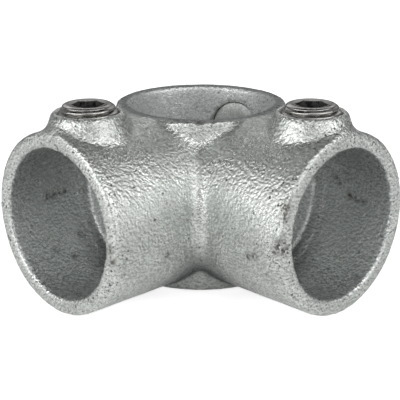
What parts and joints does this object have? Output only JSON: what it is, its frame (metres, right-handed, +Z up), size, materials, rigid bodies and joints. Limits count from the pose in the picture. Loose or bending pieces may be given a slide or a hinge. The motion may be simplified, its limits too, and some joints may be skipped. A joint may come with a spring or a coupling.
{
  "type": "tube clamp corner fitting",
  "caption": "Cast corner fitting for round tube: an upright sleeve for a post, level sockets at a right angle for rails, and set screws in bosses that grip the tubes.",
  "frame": {"origin": "where the axes of the sleeve and the two sockets cross, at half the sleeve's height", "axes": "+Z up the sleeve, +X out of the right socket, -Y out of the left socket"},
  "size_m": [0.0838, 0.0908, 0.0592],
  "materials": {
    "galvanised_casting": "hot-dip galvanised casting, dull pale grey, finely pebbled",
    "dark_steel": "dark plated steel, machined"
  },
  "bodies": {
    "casting": {"fitting_body": "galvanised_casting"},
    "right_screw": {"right_socket_screw": "dark_steel"},
    "left_screw": {"left_socket_screw": "dark_steel"},
    "rear_screw": {"sleeve_screw": "dark_steel"}
  },
  "joints": [
    {"name": "right_screw_drive", "type": "slide", "parent": "casting", "child": "right_screw", "axis": [0, 0, -1], "range_m": [-0.00401, 0.00267]},
    {"name": "left_screw_drive", "type": "slide", "parent": "casting", "child": "left_screw", "axis": [0, 0, -1], "range_m": [-0.00401, 0.00267]},
    {"name": "rear_screw_drive", "type": "slide", "parent": "casting", "child": "rear_screw", "axis": [0.2588, -0.9659, 0], "range_m": [-0.00401, 0.00267]}
  ]
}
